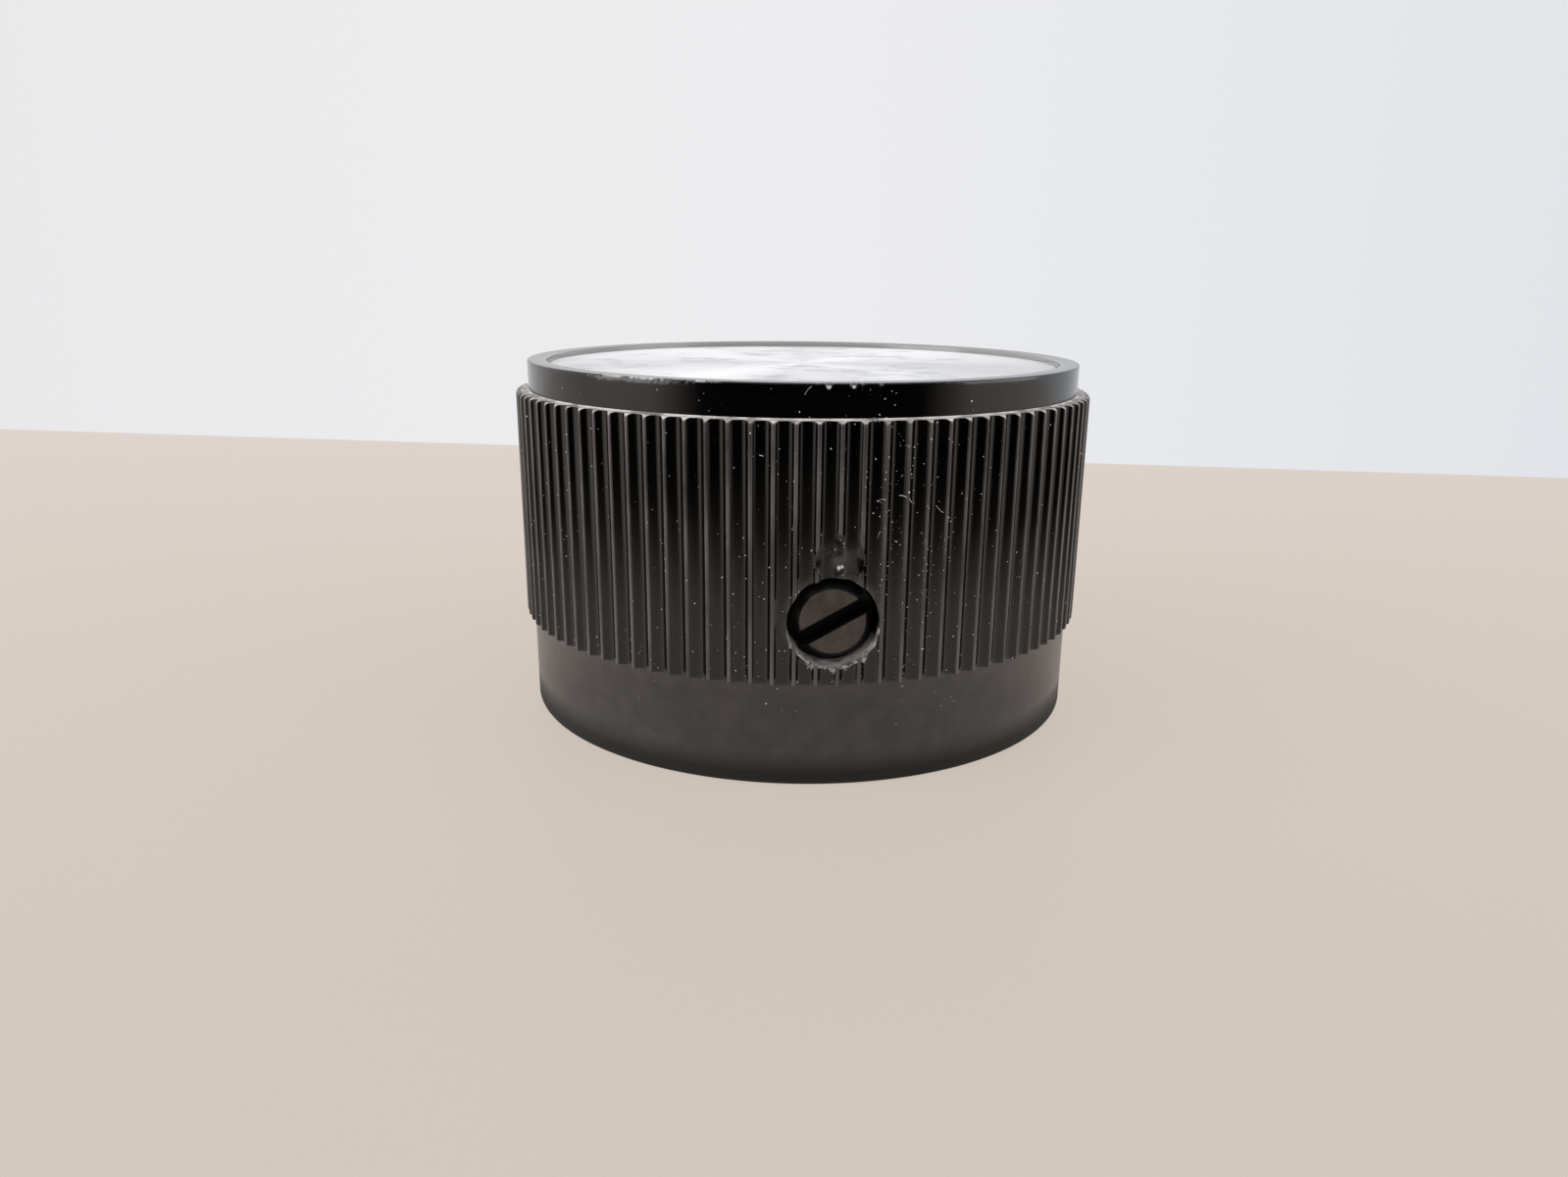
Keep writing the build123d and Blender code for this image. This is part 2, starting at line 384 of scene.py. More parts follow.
# how far each column is cut in, with the crest edges rounded
offset = node(tree, math_node, share, pitch, operation="MULTIPLY")
offset_squared = node(tree, math_node, offset, offset, operation="MULTIPLY")
arc_squared = node(tree, math_node, arc_radius, arc_radius, operation="MULTIPLY")
rise = node(tree, math_node, arc_squared, offset_squared, operation="SUBTRACT")
rise = node(tree, math_node, rise, 0.0, operation="MAXIMUM")
rise = node(tree, math_node, rise, operation="SQRT")
centre = node(tree, math_node, arc_radius, given["Flute Depth"], operation="SUBTRACT")
cut = node(tree, math_node, rise, centre, operation="SUBTRACT")
cut = node(tree, math_node, cut, 0.0, given["Edge Round"], operation="SMOOTH_MAX")
wall_radius = node(tree, math_node, given["Crest Radius"], cut, operation="SUBTRACT")
fluted_radius = node(
    tree, math_node, wall_radius, point.outputs[0], given["Edge Round"], operation="SMOOTH_MIN"
)
bend = node(tree, math_node, fluted_radius, point.outputs[0], operation="SUBTRACT")
bend = node(tree, math_node, bend, is_fluted, operation="MULTIPLY")
radius = node(tree, math_node, point.outputs[0], bend, operation="ADD")
angle = node(tree, math_node, share, 0.5, operation="ADD")
angle = node(tree, math_node, angle, turn, operation="MULTIPLY")
angle = node(tree, math_node, angle, given["First Crest Angle"], operation="ADD")
sine = node(tree, math_node, angle, operation="SINE")
cosine = node(tree, math_node, angle, operation="COSINE")
away = node(tree, math_node, radius, -1.0, operation="MULTIPLY")
bent = node(
    tree,
    "GeometryNodeSetPosition",
    strip.outputs[0],
    sockets={
        "Position": node(
            tree,
            "ShaderNodeCombineXYZ",
            node(tree, math_node, radius, sine, operation="MULTIPLY"),
            node(tree, math_node, away, cosine, operation="MULTIPLY"),
            point.outputs[2],
        )
    },
)

# one strip for each flute, joined into a closed skin
seats = node(tree, "GeometryNodePoints", given["Flute Count"])
spin = node(tree, math_node, node(tree, "GeometryNodeInputIndex"), turn, operation="MULTIPLY")
spin = node(tree, "ShaderNodeCombineXYZ", 0.0, 0.0, spin)
copies = node(
    tree, "GeometryNodeInstanceOnPoints", seats, sockets={"Instance": bent, "Rotation": spin}
)
real = node(tree, "GeometryNodeRealizeInstances", copies)
joined = node(tree, "GeometryNodeMergeByDistance", real, sockets={"Distance": 1e-6})
painted = node(tree, "GeometryNodeSetMaterial", joined, sockets={"Material": given["Material"]})
node(tree, "NodeGroupOutput", painted)

# Knocks: a crushed patch of crests with a dimple above the screw hole, bright partly from a
# painted glint, chips out of the rim's front edge, and a stretch of rough edge on its left.
CRUSH_X, CRUSH_Z = 0.25, 11.2
CRUSH_HALF_WIDTH, CRUSH_HALF_HEIGHT = 1.25, 1.3
CRUSH_DEPTH = 0.15
DIMPLE_X, DIMPLE_Z, DIMPLE_RADIUS, DIMPLE_DEPTH = 0.22, 11.0, 0.34, 0.08
CRUSH_PLACE = (CRUSH_X, -15.8, CRUSH_Z)
# where the moulding is cut finer for the patch, and the part of it that can sink, in mm
CRUSH_CUT_BELOW, CRUSH_CUT_ABOVE, CRUSH_CUT_SIDE, CRUSH_CUTS = 9.0, 13.5, 2.0, 19
SINK_BELOW, SINK_ABOVE, SINK_FRONT = 9.5, 13.0, -15.0
# bearing and half width in degrees, and depth in mm
RIM_CHIPS = [
    (-1.34, 0.7, 0.13),
    (2.8, 0.7, 0.12),
    (4.4, 0.4, 0.05),
    (7.6, 0.5, 0.07),
    (-3.2, 0.5, 0.03),
]
# how far a chip reaches down and in from the rim's edge, in mm
CHIP_DROP, CHIP_REACH = 0.35, 0.3
# the rough stretch's two bearings in degrees, and the height of its roughness in mm
ROUGH_EDGE = (-47.0, -21.5)
ROUGH_HEIGHT = 0.12
# place and reach of each white spot in mm, partly chips and partly painted glints
CHIP_AND_GLINT_SPOTS = [
    ((-0.36, -15.15, 18.84), 0.13),
    ((0.75, -15.14, 18.85), 0.11),
    ((2.01, -15.06, 18.94), 0.08),
    ((0.2, -15.7, 10.84), 0.13),
    ((0.34, -15.7, 10.88), 0.1),
    ((0.42, -15.75, 11.95), 0.08),
]

# Black phenolic thermoset, moulded against a polished die: the rim still mirrors
# the room, the flutes are glossy, and handling has dulled the skirt to a soft
# grey. Pale colour on whatever faces up is partly light dust and partly a painted highlight, and dust
# lies thinly on the skirt.
phenolic, tree = new_material("moulded_black_phenolic")
place = node(tree, "ShaderNodeTexCoord").outputs["Object"]
height = node(tree, "ShaderNodeSeparateXYZ", place).outputs[2]
band_foot, band_top, rim_top = (n * MM for n in (SKIRT_HEIGHT, FLUTE_TOP, RIM_TOP))
skirt_share = node(
    tree, "ShaderNodeMapRange", height, band_foot + 0.06 * MM, band_foot - 0.04 * MM, 0.0, 1.0
)
# the skirt's haze thins out towards its foot, so the skirt is darker towards the bottom
above_foot_ramp = node(tree, "ShaderNodeMapRange", height, 0.6 * MM, 1.8 * MM, 0.0, 1.0)
rim_share = node(
    tree, "ShaderNodeMapRange", height, band_top - 0.05 * MM, band_top + 0.1 * MM, 0.0, 1.0
)
# painted highlight: the haze is lighter in a strip just under the flutes, for the light along the
# skirt's top edge
skirt_top_highlight = node(
    tree, "ShaderNodeMapRange", height, band_foot - 0.7 * MM, band_foot - 0.1 * MM, 1.0, 1.4
)
flat = node(tree, "ShaderNodeVectorMath", place, (1, 1, 0), operation="MULTIPLY")
from_axis = node(tree, "ShaderNodeVectorMath", flat, operation="LENGTH").outputs["Value"]
# haze breaks up at about 1 mm, and hands smear over about 4 mm
mottle = node(
    tree,
    "ShaderNodeTexNoise",
    place,
    sockets={"Scale": 900.0, "Detail": 5.0, "Roughness": 0.65},
)
smears = node(tree, "ShaderNodeTexNoise", place, sockets={"Scale": 260.0, "Detail": 3.0})
normal = node(tree, "ShaderNodeNewGeometry").outputs["Normal"]
facing = node(tree, "ShaderNodeSeparateXYZ", normal).outputs[2]
upward = node(tree, "ShaderNodeMapRange", facing, 0.3, 0.7, 0.0, 1.0)
on_ledge = node(
    tree, "ShaderNodeMapRange", height, band_top + 0.1 * MM, band_top + 0.05 * MM, 0.0, 1.0
)
patchy = node(tree, "ShaderNodeMapRange", mottle, 0.4, 0.58, 0.3, 1.0)
# the pale colour on what faces up below the rim is partly dust and partly a painted highlight of the
# overhead light on the ledge
ledge_dust_and_sheen = node(tree, math_node, upward, on_ledge, operation="MULTIPLY")
ledge_dust_and_sheen = node(tree, math_node, ledge_dust_and_sheen, patchy, operation="MULTIPLY")
haze_patches = node(tree, "ShaderNodeMapRange", mottle, 0.35, 0.7, 0.55, 1.0)
haze = node(tree, math_node, haze_patches, skirt_share, operation="MULTIPLY")
haze = node(tree, math_node, haze, above_foot_ramp, operation="MULTIPLY")
haze = node(tree, math_node, haze, skirt_top_highlight, operation="MULTIPLY")
colour = node(tree, "ShaderNodeMixRGB", haze, srgb("040404"), srgb("3d393a"))
# the crests are painted a lighter grey in smeared patches
crest = CREST_RADIUS * MM
on_crest = node(
    tree, "ShaderNodeMapRange", from_axis, crest - 0.075 * MM, crest - 0.025 * MM, 0.0, 1.0
)
crest_grey_patches = node(tree, "ShaderNodeMapRange", smears, 0.35, 0.65, 0.35, 1.0)
crest_grey_patches = node(tree, math_node, on_crest, crest_grey_patches, operation="MULTIPLY")
colour = node(tree, "ShaderNodeMixRGB", crest_grey_patches, colour, srgb("625d5d"))
colour = node(tree, "ShaderNodeMixRGB", ledge_dust_and_sheen, colour, srgb("e6e0db"))
# the moulding is painted white at each spot: partly chipped phenolic, partly a painted glint
chipped_and_glint = 0.0
for spot, reach in CHIP_AND_GLINT_SPOTS:
    apart = node(tree, "ShaderNodeVectorMath", place, [n * MM for n in spot], operation="DISTANCE")
    apart = apart.outputs["Value"]
    close = node(tree, "ShaderNodeMapRange", apart, reach * MM, reach * 0.3 * MM, 0.0, 1.0)
    chipped_and_glint = node(tree, math_node, close, chipped_and_glint, operation="MAXIMUM")
# a dull smear lies on the crushed patch and round the mouth of the screw hole
on_front = node(tree, "ShaderNodeSeparateXYZ", place).outputs[1]
on_front = node(tree, "ShaderNodeMapRange", on_front, -15.0 * MM, -15.1 * MM, 0.0, 1.0)
apart = node(tree, "ShaderNodeVectorMath", place, [n * MM for n in CRUSH_PLACE], operation="DISTANCE")
smeared = node(tree, "ShaderNodeMapRange", apart.outputs["Value"], 1.1 * MM, 0.4 * MM, 0.0, 1.0)
streaks = node(tree, "ShaderNodeMapRange", mottle, 0.42, 0.6, 0.1, 0.55)
across = node(tree, "ShaderNodeVectorMath", place, (1, 0, 1), operation="MULTIPLY")
across = node(tree, "ShaderNodeVectorMath", across, (0, 0, SCREW_HEIGHT * MM), operation="DISTANCE")
across = across.outputs["Value"]
lip = node(tree, "ShaderNodeMapRange", across, 2.5 * MM, 2.2 * MM, 0.0, 1.0)
lip = node(tree, math_node, lip, on_front, operation="MULTIPLY")
smeared = node(tree, math_node, smeared, lip, operation="MAXIMUM")
smeared = node(tree, math_node, smeared, streaks, operation="MULTIPLY")
colour = node(tree, "ShaderNodeMixRGB", smeared, colour, srgb("504c4b"))
# the rough stretch of rim edge is painted as a white line: partly flaked phenolic, partly a painted
# highlight along the edge
parts = node(tree, "ShaderNodeSeparateXYZ", place)
toward = node(tree, math_node, parts.outputs[1], -1.0, operation="MULTIPLY")
bearing = node(tree, math_node, parts.outputs[0], toward, operation="ARCTAN2")
edge_start, edge_end = (math.radians(n) for n in ROUGH_EDGE)
stretch = node(tree, "ShaderNodeMapRange", bearing, edge_end + 0.05, edge_end - 0.05, 0.0, 1.0)
started = node(tree, "ShaderNodeMapRange", bearing, edge_start, edge_start + 0.16, 0.0, 1.0)
stretch = node(tree, math_node, stretch, started, operation="MULTIPLY")
top_edge = node(
    tree, "ShaderNodeMapRange", height, rim_top - 0.1 * MM, rim_top - 0.05 * MM, 0.0, 1.0
)
rim = RIM_RADIUS * MM
front_edge = node(
    tree, "ShaderNodeMapRange", from_axis, rim - 0.15 * MM, rim - 0.08 * MM, 0.0, 1.0
)
# dust has gathered in the corner between the rim and the disc
seat = SEAT_RADIUS * MM
inside_rim = node(
    tree, "ShaderNodeMapRange", from_axis, seat + 0.1 * MM, seat + 0.04 * MM, 0.0, 0.9
)
above_seat = node(
    tree, "ShaderNodeMapRange", height, rim_top - 0.4 * MM, rim_top - 0.35 * MM, 0.0, 1.0
)
corner_dust = node(tree, math_node, inside_rim, above_seat, operation="MULTIPLY")
colour = node(tree, "ShaderNodeMixRGB", corner_dust, colour, srgb("a5a3a0"))
flaked_and_highlight = node(tree, "ShaderNodeMapRange", mottle, 0.47, 0.55, 0.0, 0.8)
flaked_and_highlight = node(tree, math_node, flaked_and_highlight, stretch, operation="MULTIPLY")
flaked_and_highlight = node(tree, math_node, flaked_and_highlight, top_edge, operation="MULTIPLY")
flaked_and_highlight = node(tree, math_node, flaked_and_highlight, front_edge, operation="MULTIPLY")
chipped_and_glint = node(tree, math_node, chipped_and_glint, flaked_and_highlight, operation="MAXIMUM")
colour = node(tree, "ShaderNodeMixRGB", chipped_and_glint, colour, srgb("e8e4e0"))
band_gloss = node(tree, "ShaderNodeMapRange", smears, 0.35, 0.7, 0.1, 0.2)
skirt_gloss = node(tree, "ShaderNodeMapRange", above_foot_ramp, 0.0, 1.0, 0.75, 0.3)
roughness = node(tree, "ShaderNodeMixRGB", skirt_share, band_gloss, skirt_gloss)
roughness = node(tree, "ShaderNodeMixRGB", rim_share, roughness, (0.14, 0.14, 0.14, 1.0))
roughness = node(tree, "ShaderNodeMixRGB", ledge_dust_and_sheen, roughness, (0.8, 0.8, 0.8, 1.0))
relief = node(tree, "ShaderNodeBump", 0.2, 0.004 * MM, sockets={"Height": mottle})
shader = node(
    tree,
    "ShaderNodeBsdfPrincipled",
    sockets={"Base Color": colour, "Roughness": roughness, "IOR": 1.57, "Normal": relief},
)
node(tree, "ShaderNodeOutputMaterial", shader)

base = bpy.data.meshes.new("turned_outline")
steps = [(i, i + 1) for i in range(len(outline) - 1)]
base.from_pydata([(r * MM, 0, z * MM) for r, z in outline], steps, [])
base.attributes.new("fluted", "FLOAT", "POINT").data.foreach_set("value", fluted)
moulding = bpy.data.objects.new("moulding", base)
scene.collection.objects.link(moulding)


def grow(maker, tree, name, **inputs):
    """Runs a Geometry Nodes tree on an object, and gives the result as a plain mesh object."""
    modifier = maker.modifiers.new(tree.name, "NODES")
    modifier.node_group = tree
    for socket in tree.interface.items_tree:
        if socket.in_out == "INPUT" and socket.name in inputs:
            modifier[socket.identifier] = inputs[socket.name]
    return finished(maker, name)


def finished(maker, name):
    """A plain mesh object of that name from an object with modifiers, which is removed."""
    evaluated = maker.evaluated_get(bpy.context.evaluated_depsgraph_get())
    mesh = bpy.data.meshes.new_from_object(evaluated)
    bpy.data.objects.remove(maker)
    made = bpy.data.objects.new(name, mesh)
    scene.collection.objects.link(made)
    return made


body = grow(moulding, bpy.data.node_groups["fluted_moulding"], "fluted_body", Material=phenolic)

bm = bmesh.new()
bm.from_mesh(body.data)
crushed = []
for edge in bm.edges:
    middle = (edge.verts[0].co + edge.verts[1].co) / (2 * MM)
    span = abs(edge.verts[0].co.z - edge.verts[1].co.z) / MM
    near = abs(middle.x - CRUSH_X) < CRUSH_CUT_SIDE and CRUSH_CUT_BELOW < middle.z < CRUSH_CUT_ABOVE
    if span > 1.5 and middle.y < SINK_FRONT and near:
        crushed.append(edge)
bmesh.ops.subdivide_edges(bm, edges=crushed, cuts=CRUSH_CUTS, use_grid_fill=True)
bmesh.ops.triangulate(bm, faces=[f for f in bm.faces if len(f.verts) > 4])
bmesh.ops.recalc_face_normals(bm, faces=bm.faces)
for vert in bm.verts:
    x, y, z = vert.co / MM
    radius = math.hypot(x, y)
    azimuth = math.degrees(math.atan2(x, -y))
    if y < SINK_FRONT and SINK_BELOW < z < SINK_ABOVE:
        reach = ((x - CRUSH_X) / CRUSH_HALF_WIDTH) ** 2 + ((z - CRUSH_Z) / CRUSH_HALF_HEIGHT) ** 2
        away = math.hypot(x - DIMPLE_X, z - DIMPLE_Z) / DIMPLE_RADIUS
        if reach < 1:
            share = min(1.0, 2 * (1 - reach))
            share = share * share * (3 - 2 * share)
            ripple = 0.05 * noise.noise((x * 2.6, z * 2.0, 4.0))
            crushed_radius = CREST_RADIUS - CRUSH_DEPTH + ripple
            sunk = radius + (min(radius, crushed_radius) - radius) * share
            sunk -= DIMPLE_DEPTH * share * max(0.0, 1 - away * away) ** 2
            vert.co = Vector((x * sunk / radius, y * sunk / radius, z)) * MM
    if z > RIM_TOP - CHIP_DROP and radius > RIM_RADIUS - CHIP_REACH:
        edge_share = max(0.0, 1 - (RIM_TOP - z) / CHIP_DROP)
        edge_share *= max(0.0, 1 - (RIM_RADIUS - radius) / CHIP_REACH)
        depth = 0.0
        for centre, half_width, chip in RIM_CHIPS:
            depth = max(depth, chip * max(0.0, 1 - abs(azimuth - centre) / half_width) ** 0.7)
        if z > RIM_TOP - ROUGH_HEIGHT:
            if ROUGH_EDGE[0] < azimuth < ROUGH_EDGE[1]:
                depth += 0.025 * max(0.0, noise.noise((azimuth * 1.6, z * 9, 2.0)) + 0.3)
            depth += 0.016 * abs(noise.noise((azimuth * 1.4, z * 9, 7.0)))
        sunk = depth * edge_share
        shrink = (radius - sunk) / radius
        vert.co = Vector((vert.co.x * shrink, vert.co.y * shrink, vert.co.z - sunk * MM))
bm.to_mesh(body.data)
bm.free()


def box_cutter(name, low, high):
    """A plain block between two corners, to join to the body or cut from it."""
    made = piece(name, [], [], phenolic)
    bm = bmesh.new()
    bmesh.ops.create_cube(bm, size=1.0)
    for v in bm.verts:
        v.co = Vector([(low[i] + high[i]) / 2 + v.co[i] * (high[i] - low[i]) for i in range(3)]) * MM
    bm.to_mesh(made.data)
    bm.free()
    return made


def rod_cutter(name, radius, near, far, height, material):
    """A plain rod along Y at x = 0, from y = near to y = far."""
    made = piece(name, [], [], material)
    bm = bmesh.new()
    middle = Matrix.Translation(Vector((0, (near + far) / 2, height)) * MM)
    bmesh.ops.create_cone(
        bm,
        cap_ends=True,
        segments=96,
        radius1=radius * MM,
        radius2=radius * MM,
        depth=abs(far - near) * MM,
        matrix=middle @ Matrix.Rotation(math.pi / 2, 4, "X"),
    )
    bm.to_mesh(made.data)
    bm.free()
    return made


def combine(target, tool, operation):
    """Joins or cuts with a Boolean modifier and takes the tool away."""
    modifier = target.modifiers.new(operation.lower(), "BOOLEAN")
    modifier.operation = operation
    modifier.solver = "EXACT"
    modifier.object = tool
    name = target.name
    target.name = "worked"
    result = finished(target, name)
    bpy.data.objects.remove(tool)
    return result


# the low and high corner of each web and of the boss, which run into hub, wall and ceiling
web_start, web_end, web_top = 7.5, HOLLOW_RADIUS + 0.5, HOLLOW_TOP + 0.5
boss_start, boss_end = 6.5, HOLLOW_RADIUS + 0.3
half = WEB_HALF_THICKNESS
webs = [
    ((web_start, -half, WEB_BOTTOM), (web_end, half, web_top)),
    ((-web_end, -half, WEB_BOTTOM), (-web_start, half, web_top)),
    ((-half, web_start, WEB_BOTTOM), (half, web_end, web_top)),
    ((-BOSS_HALF_WIDTH, -boss_end, HUB_BOTTOM), (BOSS_HALF_WIDTH, -boss_start, web_top)),
]
for low, high in webs:
    body = combine(body, box_cutter("web", low, high), "UNION")

hole = rod_cutter("hole", SCREW_HOLE_RADIUS, -5.5, -18.5, SCREW_HEIGHT, phenolic)
body = combine(body, hole, "DIFFERENCE")
body.data.set_sharp_from_angle(angle=math.radians(40))
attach(body, "root")
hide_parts("knob_body")

# Burr round the lower lip of the screw hole: pale brittle phenolic that broke up
# when the hole was drilled, still hanging on in crumbs.
BURR_FROM, BURR_TO = 190, 352
BURR_STEPS = 150
# turn and half width in degrees, and how far the crumb stands out in mm
BURR_PEAKS = [
    (244, 9, 0.3),
    (271, 6, 0.3),
    (285, 8, 0.16),
    (308, 9, 0.3),
    (330, 8, 0.12),
    (214, 12, 0.12),
]
broken_phenolic, tree = new_material("broken_phenolic")
place = node(tree, "ShaderNodeTexCoord").outputs["Object"]
# crumbs of 0.2 mm
crumbs = node(
    tree,
    "ShaderNodeTexNoise",
    place,
    sockets={"Scale": 5000.0, "Detail": 4.0, "Roughness": 0.7},
)
paleness = node(tree, "ShaderNodeMapRange", crumbs, 0.38, 0.62, 0.0, 1.0)
colour = node(tree, "ShaderNodeMixRGB", paleness, srgb("23201f"), srgb("b9b2ac"))
shader = node(
    tree, "ShaderNodeBsdfPrincipled", sockets={"Base Color": colour, "Roughness": 0.4, "IOR": 1.6}
)
node(tree, "ShaderNodeOutputMaterial", shader)
sections = []
for step in range(BURR_STEPS + 1):
    turned = BURR_FROM + (BURR_TO - BURR_FROM) * step / BURR_STEPS
    ragged = 0.5 + noise.noise((turned * 0.35, 0.0, 5.0)) + 0.5 * noise.noise((turned * 1.1, 3.0, 1.0))
    width = 0.035 + 0.03 * max(0.0, ragged)
    for centre, half, tall in BURR_PEAKS:
        width += tall * max(0.0, 1 - abs(turned - centre) / half) * (0.55 + 0.6 * max(0.0, ragged))
    ends = min(1.0, step / 8, (BURR_STEPS - step) / 8)
    width = 0.01 + width * ends
    front = CREST_RADIUS - 0.05 - 0.06 * max(0.0, noise.noise((turned * 0.8, 9.0, 0.0)))
    across = math.cos(math.radians(turned)), math.sin(math.radians(turned))
    section = []
    # reach from the hole's centre and depth behind the front, in mm
    root = SCREW_HOLE_RADIUS + 0.04
    corners = (
        (SCREW_HOLE_RADIUS - 0.01, 0.3),
        (SCREW_HOLE_RADIUS, 0.04),
        (root + width * 0.5, 0.0),
        (root + width, 0.1),
        (root, 0.34),
    )
    for reach, depth in corners:
        x, z = reach * across[0], SCREW_HEIGHT + reach * across[1]
        wobble = 0.025 * noise.noise((turned * 1.7, reach * 9, depth * 20))
        section.append((x * MM, -math.sqrt((front - depth + wobble) ** 2 - x * x) * MM, z * MM))
    sections.append(section)
corner_count = len(sections[0])
faces = [
    (
        s * corner_count + c,
        s * corner_count + (c + 1) % corner_count,
        (s + 1) * corner_count + (c + 1) % corner_count,
        (s + 1) * corner_count + c,
    )
    for s in range(BURR_STEPS)
    for c in range(corner_count)
]
last = BURR_STEPS * corner_count
faces += [tuple(range(corner_count)), tuple(range(last, last + corner_count))]
burr = piece("hole_burr", [v for section in sections for v in section], faces, broken_phenolic)


def face_outwards(made):
    """Turns all faces of a closed mesh object outwards."""
    bm = bmesh.new()
    bm.from_mesh(made.data)
    bmesh.ops.recalc_face_normals(bm, faces=bm.faces)
    bm.to_mesh(made.data)
    bm.free()


face_outwards(burr)
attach(burr, "root")

# Shaft bushing: turned from free-cutting brass bar and moulded into the hub. Only
# its lower end and its bore show, with turning rings and a brown tarnish.
brass, tree = new_material("turned_brass")
place = node(tree, "ShaderNodeTexCoord").outputs["Object"]
flat = node(tree, "ShaderNodeVectorMath", place, (1, 1, 0), operation="MULTIPLY")
from_axis = node(tree, "ShaderNodeVectorMath", flat, operation="LENGTH").outputs["Value"]
climb = node(tree, "ShaderNodeSeparateXYZ", place).outputs[2]
walk = node(tree, math_node, from_axis, climb, operation="ADD")
# turning marks of a 0.1 mm feed
rings = node(
    tree,
    "ShaderNodeTexNoise",
    sockets={"W": walk, "Scale": 10000.0, "Detail": 2.0},
    noise_dimensions="1D",
)
# stains of about 2.5 mm
tarnish = node(
    tree,
    "ShaderNodeTexNoise",
    place,
    sockets={"Scale": 400.0, "Detail": 5.0, "Roughness": 0.6},
)
stain = node(tree, "ShaderNodeMapRange", tarnish, 0.4, 0.65, 0.0, 1.0)
colour = node(tree, "ShaderNodeMixRGB", stain, srgb("d8b468"), srgb("94703c"))
gloss = node(tree, "ShaderNodeMapRange", tarnish, 0.4, 0.65, 0.22, 0.42)
relief = node(tree, "ShaderNodeBump", 0.3, 0.006 * MM, sockets={"Height": rings})
shader = node(
    tree,
    "ShaderNodeBsdfPrincipled",
    sockets={"Base Color": colour, "Metallic": 1.0, "Roughness": gloss, "Normal": relief},
)
node(tree, "ShaderNodeOutputMaterial", shader)
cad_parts["shaft_bushing"].data.materials.clear()
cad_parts["shaft_bushing"].data.materials.append(brass)

# Set screw: a slotted 8-32 cup-point screw of black-oxided steel, backed out until
# its face stands just inside the flutes. The thread is rolled and its crests shine.
SCREW_RADIUS = 2.05
SCREW_FACE = 15.525
SCREW_TIP = 4.425
THREAD_PITCH = 0.794
THREAD_DEPTH = 0.44
SCREW_CHAMFER = 0.55
THREAD_FLANK = 0.42
SCREW_SIDES = 64
ROWS_PER_TURN = 8
SLOT_WIDTH = 0.78
SLOT_DEPTH = 1.0
SLOT_ANGLE = math.radians(29)
CUP_RADIUS = 1.1
CUP_DEPTH = 0.6
black_oxide, tree = new_material("black_oxide_steel")
place = node(tree, "ShaderNodeTexCoord").outputs["Object"]
along = node(tree, "ShaderNodeSeparateXYZ", place).outputs[1]
# only the face is worn, not the slot or the chamfer
face = -SCREW_FACE * MM
worn = node(tree, "ShaderNodeMapRange", along, face + 0.085 * MM, face + 0.015 * MM, 0.0, 1.0)
# scuffs of about 0.7 mm
scuffs = node(
    tree,
    "ShaderNodeTexNoise",
    place,
    sockets={"Scale": 1400.0, "Detail": 4.0, "Roughness": 0.6},
)
scuffed = node(tree, "ShaderNodeMapRange", scuffs, 0.35, 0.65, 0.6, 1.0)
worn = node(tree, math_node, worn, scuffed, operation="MULTIPLY")
colour = node(tree, "ShaderNodeMixRGB", worn, srgb("161514"), srgb("5f5853"))
gloss = node(tree, "ShaderNodeMapRange", scuffs, 0.35, 0.65, 0.4, 0.6)
relief = node(tree, "ShaderNodeBump", 0.25, 0.008 * MM, sockets={"Height": scuffs})
shader = node(
    tree,
    "ShaderNodeBsdfPrincipled",
    sockets={"Base Color": colour, "Metallic": 0.6, "Roughness": gloss, "Normal": relief},
)
node(tree, "ShaderNodeOutputMaterial", shader)
length = SCREW_FACE - SCREW_TIP
row_total = math.ceil(length / THREAD_PITCH * ROWS_PER_TURN)
verts, faces = [], []
for row in range(row_total + 1):
    down = length * row / row_total
    for side in range(SCREW_SIDES):
        around = 2 * math.pi * side / SCREW_SIDES
        phase = (down / THREAD_PITCH + side / SCREW_SIDES) % 1.0
        groove = max(0.0, min(1.0, (0.5 - abs(phase - 0.5)) / THREAD_FLANK - 0.08))
        reach = SCREW_RADIUS - THREAD_DEPTH * (1 - groove)
        limit = SCREW_RADIUS - SCREW_CHAMFER + min(down, length - down)
        reach = min(reach, limit)
        verts.append(
            (
                reach * math.sin(around) * MM,
                -(SCREW_FACE - down) * MM,
                (SCREW_HEIGHT + reach * math.cos(around)) * MM,
            )
        )
for row in range(row_total):
    for side in range(SCREW_SIDES):
        after = (side + 1) % SCREW_SIDES
        a, b = row * SCREW_SIDES, (row + 1) * SCREW_SIDES
        faces.append((a + side, a + after, b + after, b + side))
faces.append(tuple(range(SCREW_SIDES)))
faces.append(tuple(range(row_total * SCREW_SIDES, (row_total + 1) * SCREW_SIDES)))
screw = piece("slotted_set_screw", verts, faces, black_oxide)
face_outwards(screw)
slot_cut = box_cutter(
    "slot_cut",
    (-3.0, -SCREW_FACE - 1.0, -SLOT_WIDTH / 2),
    (3.0, -SCREW_FACE + SLOT_DEPTH, SLOT_WIDTH / 2),
)
turned = Matrix.Translation((0, 0, SCREW_HEIGHT * MM)) @ Matrix.Rotation(-SLOT_ANGLE, 4, "Y")
slot_cut.data.transform(turned)
slot_cut.data.materials[0] = black_oxide
screw = combine(screw, slot_cut, "DIFFERENCE")
cup_cut = piece("cup_cut", [], [], black_oxide)
bm = bmesh.new()
